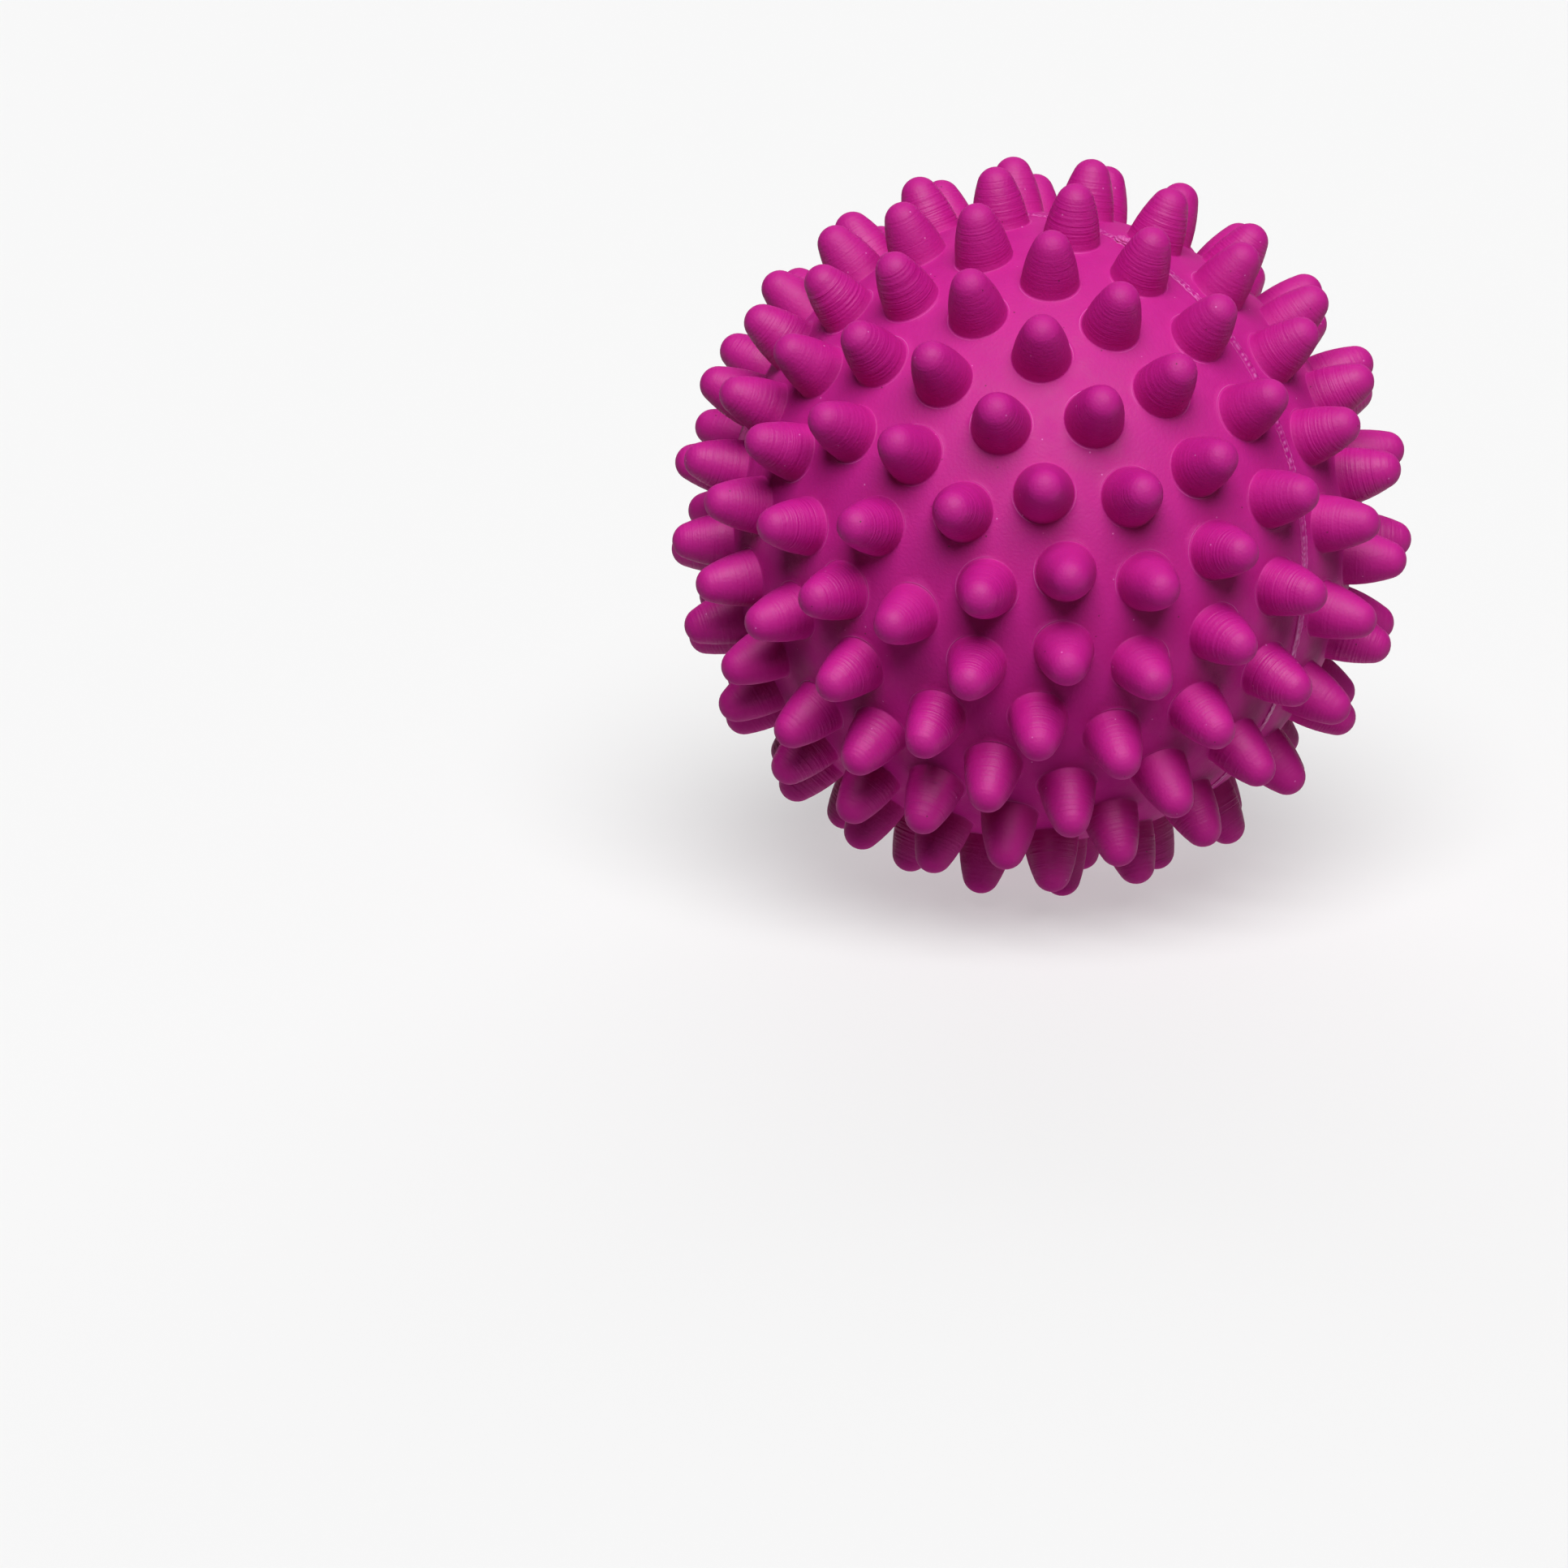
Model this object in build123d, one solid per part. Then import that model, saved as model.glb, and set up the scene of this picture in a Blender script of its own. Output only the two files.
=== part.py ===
from build123d import *
from math import atan2, cos, degrees, radians, sin, sqrt, tan
import os

# Hollow spiked dryer ball in soft PVC. Sizes are in mm and angles in degrees.
# The origin is the ball's centre. The seam lies in the XZ plane, the front half is the
# one at -Y, and +Z is up.

# Ball
BODY_DIAMETER = 59.3  # outside of the wall, between the spikes
WALL = 3.0

# Spikes
SPIKE_HEIGHT = 5.35  # from the wall's outside to the end of the tip
SPIKE_BASE_DIAMETER = 5.3
SPIKE_TIP_DIAMETER = 3.5
SPIKE_DRAFT = 4.0  # lean of the flank where it meets the wall

# Spike layout of one half: a spike on the pole, then rings of evenly spaced spikes. Both
# halves come from the same mould plate, the rear one turned half a turn about an axis in
# the seam plane.
RING_COUNTS = (5, 12, 17, 20, 23, 23)  # spikes in each ring, from the pole to the seam
RING_STARTS = (61.8, 6.2, 9.0, 4.3, 8.1, 14.6)  # one spike of each ring, from +X towards +Z
LAST_RING_LATITUDE = 7.8  # from the seam plane to the ring beside it
PLATE_TURN_AXIS = 136.1  # from +X towards +Z

# Seam: the front half's spigot enters the rear half's rebate, and the bead fills a groove
# that the two rims leave around the outside.
SPIGOT_LENGTH = 1.5
BEAD_WIDTH = 0.9
BEAD_RISE = 0.2  # how far the bead stands out of the wall

# Vent, closed by a plug that is trimmed just proud of the seam bead
VENT_DIAMETER = 2.2
VENT_ANGLE = 71.2  # from +X towards +Z, on the seam
PLUG_RISE = 0.45

SEAT_CLEARANCE = 0.02  # around the spigot, the bead and the plug, which are all bonded in

# Derived sizes
BODY_RADIUS = BODY_DIAMETER / 2
INNER_RADIUS = BODY_RADIUS - WALL
TIP_RADIUS = SPIKE_TIP_DIAMETER / 2
BASE_RADIUS = SPIKE_BASE_DIAMETER / 2
TIP_CENTRE = BODY_RADIUS + SPIKE_HEIGHT - TIP_RADIUS
ROOT_HEIGHT = BODY_RADIUS - WALL / 3  # a spike's root ends inside the wall
RING_STEP = (90 - LAST_RING_LATITUDE) / len(RING_COUNTS)
SPIGOT_RADIUS = INNER_RADIUS + WALL / 3
GROOVE_RADIUS = BODY_RADIUS - WALL / 3


def spike():
    """One spike along +Z: a flank that bulges a little and runs smoothly into a round tip."""
    base_height = sqrt(BODY_RADIUS**2 - BASE_RADIUS**2)
    rise = TIP_CENTRE - base_height
    outward = cos(radians(SPIKE_DRAFT))
    upward = sin(radians(SPIKE_DRAFT))
    # The flank is the arc that leaves the wall at the draft angle and touches the tip's circle.
    flank_radius = (BASE_RADIUS**2 + rise**2 - TIP_RADIUS**2) / (
        2 * (BASE_RADIUS * outward - rise * upward - TIP_RADIUS)
    )
    flank_centre = (BASE_RADIUS - flank_radius * outward, base_height - flank_radius * upward)
    taper = degrees(atan2(TIP_CENTRE - flank_centre[1], -flank_centre[0]))
    root_radius = BASE_RADIUS + (base_height - ROOT_HEIGHT) * tan(radians(SPIKE_DRAFT))
    with BuildPart() as body:
        with BuildSketch(Plane.XZ):
            with BuildLine():
                flank = CenterArc(flank_centre, flank_radius, SPIKE_DRAFT, taper - SPIKE_DRAFT)
                tip = CenterArc((0, TIP_CENTRE), TIP_RADIUS, taper, 90 - taper)
                Polyline(tip @ 1, (0, ROOT_HEIGHT), (root_radius, ROOT_HEIGHT), flank @ 0)
            make_face()
        revolve(axis=Axis.Z)
    return body.part


def direction(latitude, azimuth):
    """Unit vector at an angle in front of the seam plane and an angle around the pole axis."""
    out = cos(radians(latitude))
    return Vector(
        out * cos(radians(azimuth)),
        -sin(radians(latitude)),
        out * sin(radians(azimuth)),
    )


def front_directions():
    """Spike axes of the front half: the pole, then ring by ring towards the seam."""
    axes = [direction(90, 0)]
    for ring, (count, start) in enumerate(zip(RING_COUNTS, RING_STARTS), 1):
        latitude = 90 - ring * RING_STEP
        axes += [direction(latitude, start + 360 * place / count) for place in range(count)]
    return axes


def rear_directions():
    """Spike axes of the rear half: the front ones after the mould plate's half turn."""
    turn_axis = direction(0, PLATE_TURN_AXIS)
    return [2 * turn_axis.dot(axis) * turn_axis - axis for axis in front_directions()]


def ring_about_seam(inner_radius, outer_radius, low, high):
    """Plain ring on the pole axis, between two distances behind the seam plane."""
    centre = Plane.XZ.offset(-(low + high) / 2)
    height = high - low
    return centre * (Cylinder(outer_radius, height) - Cylinder(inner_radius, height))


def vent_pin(radius, inner_end, outer_end):
    """Pin along the vent's axis, between two distances from the ball's centre."""
    length = outer_end - inner_end
    axis = Plane((0, 0, 0), z_dir=direction(0, VENT_ANGLE))
    return axis * Pos(0, 0, inner_end + length / 2) * Cylinder(radius, length)


def vent_hole():
    """Cutter for the vent, right through the wall and the seam."""
    return vent_pin(VENT_DIAMETER / 2, INNER_RADIUS - WALL, BODY_RADIUS + WALL)


def seam_groove():
    """Cutter for the bead's groove: half of it lies in each rim."""
    half_width = BEAD_WIDTH / 2 + SEAT_CLEARANCE
    return ring_about_seam(GROOVE_RADIUS, BODY_RADIUS + WALL, -half_width, half_width)


def half_wall(keep):
    """Hollow half ball on one side of the seam plane."""
    hollow_ball = Sphere(BODY_RADIUS) - Sphere(INNER_RADIUS)
    return split(hollow_ball, bisect_by=Plane.XZ, keep=keep)


def add_spikes(wall, axes):
    """Join one spike to the wall along each axis."""
    one_spike = spike()
    return wall + [Plane((0, 0, 0), z_dir=axis).location * one_spike for axis in axes]


def front_half_shell():
    """Front moulding, with its spikes and the spigot that lines up the seam."""
    spigot = ring_about_seam(INNER_RADIUS, SPIGOT_RADIUS, -SPIGOT_LENGTH, SPIGOT_LENGTH)
    shell = add_spikes(half_wall(Keep.TOP), front_directions())
    return shell + spigot - seam_groove() - vent_hole()


def rear_half_shell():
    """Rear moulding, with its spikes and the rebate that takes the spigot."""
    rebate_end = SPIGOT_LENGTH + SEAT_CLEARANCE
    rebate = ring_about_seam(INNER_RADIUS / 2, SPIGOT_RADIUS + SEAT_CLEARANCE, -WALL, rebate_end)
    shell = add_spikes(half_wall(Keep.BOTTOM), rear_directions())
    return shell - rebate - seam_groove() - vent_hole()


def seam_bead():
    """Raised bead around the seam, flat-sided with a slightly crowned outside."""
    half_width = BEAD_WIDTH / 2
    shoulder = BODY_RADIUS + BEAD_RISE / 2
    with BuildPart() as bead:
        with BuildSketch(Plane.XY):
            with BuildLine():
                Polyline(
                    (shoulder, -half_width),
                    (GROOVE_RADIUS, -half_width),
                    (GROOVE_RADIUS, half_width),
                    (shoulder, half_width),
                )
                ThreePointArc(
                    (shoulder, half_width),
                    (BODY_RADIUS + BEAD_RISE, 0),
                    (shoulder, -half_width),
                )
            make_face()
        revolve(axis=Axis.Y)
    return bead.part - vent_hole()


def vent_plug():
    """Plug that closes the vent, with a domed outer end."""
    radius = VENT_DIAMETER / 2 - SEAT_CLEARANCE
    outer_end = BODY_RADIUS + PLUG_RISE
    pin = vent_pin(radius, INNER_RADIUS, outer_end)
    end_rim = pin.edges().sort_by(lambda edge: edge.center().length)[-1]
    return fillet(end_rim, PLUG_RISE / 2)


def main():
    """Build every node and write each to its own STEP file."""
    os.makedirs("parts", exist_ok=True)
    nodes = {
        "front_half_shell": front_half_shell(),
        "rear_half_shell": rear_half_shell(),
        "seam_bead": seam_bead(),
        "vent_plug": vent_plug(),
    }
    for name, solid in nodes.items():
        export_step(solid, f"parts/{name}.step")
        print(name, len(solid.solids()), round(solid.volume, 1), solid.bounding_box())


main()
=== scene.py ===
"""Spiked dryer ball in soft moulded PVC, dressed over its CAD frame.

Every position comes from the frame: the ball's radii from the boxes of its nodes, and the
vent's place from the vent plug's box. Lengths in the ball's classes are in millimetres and
are turned to metres as the meshes are written.
"""

import logging
import math
from dataclasses import dataclass, field
from enum import Enum

import bpy
import numpy as np
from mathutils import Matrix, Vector


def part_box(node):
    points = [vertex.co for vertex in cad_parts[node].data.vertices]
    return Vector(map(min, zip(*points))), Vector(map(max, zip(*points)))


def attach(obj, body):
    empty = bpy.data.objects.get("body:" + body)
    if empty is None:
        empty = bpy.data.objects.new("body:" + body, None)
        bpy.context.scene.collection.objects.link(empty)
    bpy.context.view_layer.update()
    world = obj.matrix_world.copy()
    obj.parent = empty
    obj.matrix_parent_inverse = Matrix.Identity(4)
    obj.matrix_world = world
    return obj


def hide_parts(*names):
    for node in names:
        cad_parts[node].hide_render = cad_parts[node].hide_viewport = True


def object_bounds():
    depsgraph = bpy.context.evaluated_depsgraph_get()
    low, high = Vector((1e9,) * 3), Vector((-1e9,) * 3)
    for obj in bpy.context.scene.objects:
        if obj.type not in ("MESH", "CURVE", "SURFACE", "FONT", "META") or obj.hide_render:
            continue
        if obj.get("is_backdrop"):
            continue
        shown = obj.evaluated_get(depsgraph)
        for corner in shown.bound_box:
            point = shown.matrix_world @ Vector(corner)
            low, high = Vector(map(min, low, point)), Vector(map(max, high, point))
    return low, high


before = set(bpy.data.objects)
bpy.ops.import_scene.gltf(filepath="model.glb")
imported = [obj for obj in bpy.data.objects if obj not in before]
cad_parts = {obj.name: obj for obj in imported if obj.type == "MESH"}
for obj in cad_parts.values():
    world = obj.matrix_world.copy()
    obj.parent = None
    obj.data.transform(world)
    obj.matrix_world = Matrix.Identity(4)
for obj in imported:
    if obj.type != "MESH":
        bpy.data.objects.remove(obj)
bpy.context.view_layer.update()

log = logging.getLogger("dryer_ball")

MM = 0.001

# Differences that are rounding alone: between cosines, and between angles in radians or
# counts of steps.
COSINE_SLACK = 1e-9
ANGLE_SLACK = 1e-6


class Half(Enum):
    """The two mouldings, by the side of the seam plane that each lies on along Y."""

    FRONT = -1.0
    REAR = 1.0


class Part(Enum):
    """CAD nodes by name."""

    FRONT_SHELL = "front_half_shell"
    REAR_SHELL = "rear_half_shell"
    SEAM = "seam_bead"
    VENT = "vent_plug"


# ---------------------------------------------------------------- small helpers


def linear(hex_code: str) -> tuple[float, float, float, float]:
    """Turn an sRGB hex colour into the linear RGBA that a shader takes.

    Args:
        hex_code: colour such as "#C0188C".

    Returns:
        Linear red, green, blue and an alpha of 1.
    """
    srgb = np.array([int(hex_code[k : k + 2], 16) for k in (1, 3, 5)]) / 255
    # The sRGB standard's own curve: straight near black, and a power above.
    rgb = np.where(srgb <= 0.04045, srgb / 12.92, ((srgb + 0.055) / 1.055) ** 2.4)
    return (*map(float, rgb), 1.0)


def add_node(tree: bpy.types.NodeTree, kind: str, settings: dict | None = None,
             **links: object) -> bpy.types.Node:
    """Add a shader node with its settings and links.

    Args:
        tree: node tree that takes the node.
        kind: Blender's node type name.
        settings: node properties by name, or input values by number or socket name.
        links: output sockets by input; "i0" means input 0, otherwise the socket's name
            with spaces as underscores.

    Returns:
        The new node.
    """
    node = tree.nodes.new(kind)
    for key, value in (settings or {}).items():
        if isinstance(key, str) and hasattr(node, key):
            setattr(node, key, value)
        else:
            node.inputs[key].default_value = value
    for name, socket in links.items():
        key = int(name[1:]) if name[0] == "i" and name[1:].isdigit() else name.replace("_", " ")
        tree.links.new(socket, node.inputs[key])
    return node


def bearing(azimuth: float, elevation: float) -> Vector:
    """Unit vector from the ball's centre towards a place round it.

    Args:
        azimuth: degrees round from the front (-Y) towards +X.
        elevation: degrees above the horizon.

    Returns:
        The direction.
    """
    a, e = math.radians(azimuth), math.radians(elevation)
    return Vector((math.sin(a) * math.cos(e), -math.cos(a) * math.cos(e), math.sin(e)))


def make_piece(name: str, points: np.ndarray, faces: list) -> bpy.types.Object:
    """Put points and faces into a smooth shaded mesh object at the origin.

    Args:
        name: the piece's name.
        points: (n, 3) array in mm.
        faces: vertex numbers of each face.

    Returns:
        The new object, linked to the scene.
    """
    mesh = bpy.data.meshes.new(name)
    mesh.from_pydata((points * MM).tolist(), [], faces)
    mesh.polygons.foreach_set("use_smooth", np.full(len(mesh.polygons), True))
    mesh.update()
    piece = bpy.data.objects.new(name, mesh)
    bpy.context.scene.collection.objects.link(piece)
    return piece


def grid_faces(rows: int, columns: int, first: int = 0) -> np.ndarray:
    """Quads of a grid whose points are stored row by row, each row a closed ring.

    The quad at row r and column c joins (r, c), (r+1, c), (r+1, c+1) and (r, c+1), where
    the last column runs back to the first.

    Args:
        rows: number of rows of points.
        columns: number of points in a row.
        first: number of the first point.

    Returns:
        (n, 4) array of vertex numbers.
    """
    row, column = np.meshgrid(np.arange(rows - 1), np.arange(columns), indexing="ij")
    beside = (column + 1) % columns
    corners = [
        row * columns + column,
        (row + 1) * columns + column,
        (row + 1) * columns + beside,
        row * columns + beside,
    ]
    return np.stack(corners, -1).reshape(-1, 4) + first


def fan_faces(tip: int, ring: np.ndarray) -> np.ndarray:
    """Triangles from one point to a closed ring, as (n, 3) vertex numbers."""
    return np.stack([np.full(len(ring), tip), ring, np.roll(ring, -1)], -1)


def set_point_values(mesh: bpy.types.Mesh, name: str, kind: str, values: np.ndarray) -> None:
    """Store one value or vector for each point of a mesh.

    Args:
        mesh: the mesh.
        name: the attribute's name.
        kind: "FLOAT" or "FLOAT_VECTOR".
        values: one row for each point.
    """
    layer = mesh.attributes.new(name, kind, "POINT")
    field_name = "vector" if kind == "FLOAT_VECTOR" else "value"
    layer.data.foreach_set(field_name, np.ascontiguousarray(values, np.float32).ravel())


def wave_noise(angles: np.ndarray, waves: np.ndarray, rng: np.random.Generator) -> np.ndarray:
    """Smooth noise round a closed circle, mostly within -1 to 1.

    It is a sum of cosines with whole numbers of waves round the circle and random phases,
    divided by twice the root of half their number, so that its root mean square is a half.

    Args:
        angles: angles round the circle, in radians.
        waves: whole numbers of waves to add up.
        rng: source of the phases.

    Returns:
        Noise at each angle.
    """
    phases = rng.uniform(0, 2 * np.pi, len(waves))
    total = np.cos(np.outer(angles, waves) + phases).sum(-1)
    return total / math.sqrt(len(waves) / 2) / 2


@dataclass(frozen=True)
class Waver:
    """Noise round the ball, by its strength and the whole numbers of waves it is made of."""

    strength: float
    waves: range

    def sample(self, angles: np.ndarray, rng: np.random.Generator) -> np.ndarray:
        """Noise at each angle, in radians, with random phases."""
        return self.strength * wave_noise(angles, np.array(self.waves), rng)


# ---------------------------------------------------------------- the ball's form


@dataclass(frozen=True)
class BallForm:
    """Sizes of the ball in mm. The two radii come from the frame, the rest are the CAD's own."""

    body_radius: float
    outer_radius: float
    wall: float = 3.0
    spike_base_radius: float = 2.65
    spike_tip_radius: float = 1.75
    spike_draft: float = math.radians(4.0)
    groove_half_width: float = 0.47

    @classmethod
    def from_frame(cls, bead_rise: float = 0.2) -> "BallForm":
        """Read the radii from the boxes of the seam bead and the front shell.

        Args:
            bead_rise: how far the CAD bead stands out of the wall, in mm.

        Returns:
            The form.
        """
        bead_low, bead_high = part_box(Part.SEAM.value)
        shell_low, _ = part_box(Part.FRONT_SHELL.value)
        bead_radius = (bead_high.x - bead_low.x) / 2 / MM
        return cls(body_radius=bead_radius - bead_rise, outer_radius=-shell_low.y / MM)

    @property
    def inner_radius(self) -> float:
        """Radius of the hollow."""
        return self.body_radius - self.wall

    @property
    def groove_radius(self) -> float:
        """Radius of the floor of the groove that holds the seam band."""
        return self.body_radius - self.wall / 3

    @property
    def tip_centre(self) -> np.ndarray:
        """Centre of a spike's round tip, as distance from the axis and height along it."""
        return np.array([0.0, self.outer_radius - self.spike_tip_radius])

    def flank_circle(self) -> tuple[np.ndarray, float]:
        """Circle that a spike's flank follows in its half outline.

        It leaves the wall at the draft angle and touches the tip's circle, so its radius
        is (d^2 - t^2) / (2 (d.n - t)), with d from the tip's centre to the base's edge, n
        the flank's normal there, and t the tip's radius.

        Returns:
            The circle's centre, as distance from the axis and height, and its radius.
        """
        tip = self.spike_tip_radius
        base_height = math.sqrt(self.body_radius**2 - self.spike_base_radius**2)
        base = np.array([self.spike_base_radius, base_height])
        normal = np.array([math.cos(self.spike_draft), math.sin(self.spike_draft)])
        reach = base - self.tip_centre
        radius = (reach @ reach - tip**2) / (2 * (reach @ normal - tip))
        return base - radius * normal, radius


@dataclass(frozen=True)
class SpikeLayout:
    """Where the spikes stand: one on the pole, then rings of evenly spaced spikes.

    Angles are in degrees. A ring's start is the place of one of its spikes, from +X towards
    +Z. The last ring's latitude is counted from the seam plane, in which the axis of the
    mould plate's half turn lies.
    """

    ring_counts: tuple[int, ...] = (5, 12, 17, 20, 23, 23)
    ring_starts: tuple[float, ...] = (61.8, 6.2, 9.0, 4.3, 8.1, 14.6)
    last_ring_latitude: float = 7.8
    plate_turn_axis: float = 136.1

    def axes(self, half: Half) -> np.ndarray:
        """Unit vectors along the spikes of one half.

        The rear half's are the front's turned half a turn about an axis in the seam
        plane: twice their part along that axis, less themselves.

        Args:
            half: which half.

        Returns:
            (n, 3) array, the pole spike first.
        """
        step = (90 - self.last_ring_latitude) / len(self.ring_counts)
        rings = np.repeat(np.arange(1, len(self.ring_counts) + 1), self.ring_counts)
        around = [
            start + 360 * np.arange(count) / count
            for count, start in zip(self.ring_counts, self.ring_starts)
        ]
        latitude = np.radians(np.concatenate([[90.0], 90 - step * rings]))
        azimuth = np.radians(np.concatenate([[0.0], *around]))
        out = np.cos(latitude)
        front = np.stack([out * np.cos(azimuth), -np.sin(latitude), out * np.sin(azimuth)], -1)
        if half is Half.FRONT:
            return front
        turn = math.radians(self.plate_turn_axis)
        axis = np.array([math.cos(turn), 0.0, math.sin(turn)])
        return 2 * np.outer(front @ axis, axis) - front


# ---------------------------------------------------------------- finishes


@dataclass(frozen=True)
class MouldedPvc:
    """Soft plasticised PVC as it leaves a machined mould.

    It gives the eye a saturated magenta with a broad matte sheen that turns wine red where
    light has to bounce, a faint orange peel, fine turning marks round the spikes, and a
    few dark pinholes and pale specks of dust. Flash is painted paler, partly as whitened
    trim and partly as painted highlight, and so are the crests of the ridges round the
    spikes, as a painted highlight.
    """

    name: str = "moulded PVC"
    colour: str = "#BE1189"
    deep_colour: str = "#B60D81"
    flash_and_highlight_colour: str = "#E07AC4"
    pinhole_colour: str = "#3A0818"
    dust_colour: str = "#E07AC4"
    roughness: float = 0.66
    ior: float = 1.53
    sheen_level: float = 0.38
    glow: float = 0.10
    glow_depth_mm: float = 1.0
    glow_reach: tuple[float, float, float] = (1.0, 0.15, 0.35)
    peel_mm: float = 0.28
    peel_detail: float = 2.0
    peel_height_mm: float = 0.035
    mottle_mm: float = 1.6
    mottle_detail: float = 4.0
    mottle_range: tuple[float, float] = (0.3, 0.7)
    mottle_roughness: float = 0.05
    mark_pitch_mm: float = 0.44
    mark_length_mm: float = 14.0
    mark_detail: float = 1.0
    mark_height_mm: float = 0.11
    mark_polish: float = 0.14
    speck_spacing_mm: float = 1.6
    speck_radius_mm: float = 0.10
    speck_cover: float = 0.8
    pinhole_share: float = 0.4

    def material(self) -> bpy.types.Material:
        """Build the material.

        Returns:
            The new material.
        """
        made = bpy.data.materials.new(self.name)
        made.use_nodes = True
        tree = made.node_tree
        tree.nodes.clear()
        place = add_node(tree, "ShaderNodeTexCoord").outputs["Object"]
        shader = add_node(tree, "ShaderNodeBsdfPrincipled", {
            "IOR": self.ior,
            "Specular IOR Level": self.sheen_level,
            "Subsurface Weight": self.glow,
            "Subsurface Radius": self.glow_reach,
            "Subsurface Scale": self.glow_depth_mm * MM,
        })
        self._colour(tree, place, shader)
        self._relief(tree, place, shader)
        output = add_node(tree, "ShaderNodeOutputMaterial")
        tree.links.new(shader.outputs[0], output.inputs[0])
        return made

    def _colour(self, tree: bpy.types.NodeTree, place: bpy.types.NodeSocket,
                shader: bpy.types.Node) -> None:
        """Mottle the colour and the roughness, paint flash and ridge crests paler as whitened trim
        and painted highlight, and add the specks.

        A speck is where a cell point of a 3D Voronoi pattern comes near the surface. The
        cell's random colour chooses a dark pinhole or a pale speck of dust. Where the
        surface carries turning marks, it is smoother by the polish that cutting leaves.

        Args:
            tree: the material's nodes.
            place: object coordinates, in metres.
            shader: the shader that takes the colour.
        """
        mottle = add_node(tree, "ShaderNodeTexNoise", {
            "Scale": 1 / (self.mottle_mm * MM),
            "Detail": self.mottle_detail,
        }, Vector=place).outputs[0]
        # A Mix node's number, vector and colour sockets share their names, so they go by
        # number: inputs 6 and 7 are its two colours, and output 2 is the blended one.
        body = add_node(tree, "ShaderNodeMix", {
            "data_type": "RGBA",
            6: linear(self.deep_colour),
            7: linear(self.colour),
        }, i0=mottle)
        # The paler flash colour: on the seam's lips and the vent scar it is whitened trim with a
        # painted highlight, and on the ridges round the spikes it is a painted highlight.
        flash_and_highlight = add_node(tree, "ShaderNodeAttribute", {"attribute_name": "flash_and_highlight"})
        trimmed = add_node(tree, "ShaderNodeMix", {
            "data_type": "RGBA",
            7: linear(self.flash_and_highlight_colour),
        }, i0=flash_and_highlight.outputs["Fac"], i6=body.outputs[2])
        cells = add_node(tree, "ShaderNodeTexVoronoi",
                         {"Scale": 1 / (self.speck_spacing_mm * MM)}, Vector=place)
        speck_size = self.speck_radius_mm / self.speck_spacing_mm
        speck = add_node(tree, "ShaderNodeMapRange", {
            "From Min": speck_size / 2,
            "From Max": speck_size,
            "To Min": self.speck_cover,
            "To Max": 0.0,
        }, Value=cells.outputs["Distance"])
        chance = add_node(tree, "ShaderNodeSeparateColor", Color=cells.outputs["Color"])
        is_dust = add_node(tree, "ShaderNodeMath",
                           {"operation": "GREATER_THAN", 1: self.pinhole_share},
                           i0=chance.outputs[0])
        speck_colour = add_node(tree, "ShaderNodeMix", {
            "data_type": "RGBA",
            6: linear(self.pinhole_colour),
            7: linear(self.dust_colour),
        }, i0=is_dust.outputs[0])
        specked = add_node(tree, "ShaderNodeMix", {"data_type": "RGBA"}, i0=speck.outputs[0],
                           i6=trimmed.outputs[2], i7=speck_colour.outputs[2])
        tree.links.new(specked.outputs[2], shader.inputs["Base Color"])
        low, high = self.mottle_range
        mottled = add_node(tree, "ShaderNodeMapRange", {
            "From Min": low,
            "From Max": high,
            "To Min": self.roughness - self.mottle_roughness,
            "To Max": self.roughness + self.mottle_roughness,
        }, Value=mottle)
        marked = add_node(tree, "ShaderNodeAttribute", {"attribute_name": "mark_strength"})
        polished = add_node(tree, "ShaderNodeMath",
                            {"operation": "MULTIPLY_ADD", 1: -self.mark_polish},
                            i0=marked.outputs["Fac"], i2=mottled.outputs[0])
        tree.links.new(polished.outputs[0], shader.inputs["Roughness"])

    def _relief(self, tree: bpy.types.NodeTree, place: bpy.types.NodeSocket,
                shader: bpy.types.Node) -> None:
        """Raise the orange peel, and the turning marks on the spikes.

        The marks are noise in the spike's own coordinates, drawn out round the spike and
        fine along it, and faded by the mark strength that each point carries.

        Args:
            tree: the material's nodes.
            place: object coordinates, in metres.
            shader: the shader that takes the relief.
        """
        peel = add_node(tree, "ShaderNodeTexNoise", {
            "Scale": 1 / (self.peel_mm * MM),
            "Detail": self.peel_detail,
        }, Vector=place)
        peel_relief = add_node(tree, "ShaderNodeBump",
                               {"Strength": 1.0, "Distance": self.peel_height_mm * MM},
                               Height=peel.outputs[0])
        spot = add_node(tree, "ShaderNodeAttribute", {"attribute_name": "spike_place"})
        # One wave of the noise is about two of its cells.
        across, along = 2 / self.mark_length_mm, 2 / self.mark_pitch_mm
        drawn = add_node(tree, "ShaderNodeMapping", {"Scale": (across, across, along)},
                         Vector=spot.outputs["Vector"])
        marks = add_node(tree, "ShaderNodeTexNoise", {"Scale": 1.0, "Detail": self.mark_detail},
                         Vector=drawn.outputs[0])
        strength = add_node(tree, "ShaderNodeAttribute", {"attribute_name": "mark_strength"})
        height = add_node(tree, "ShaderNodeMath", {"operation": "MULTIPLY"},
                          i0=marks.outputs[0], i1=strength.outputs["Fac"])
        relief = add_node(tree, "ShaderNodeBump",
                          {"Strength": 1.0, "Distance": self.mark_height_mm * MM},
                          Height=height.outputs[0], Normal=peel_relief.outputs[0])
        tree.links.new(relief.outputs[0], shader.inputs["Normal"])


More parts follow.
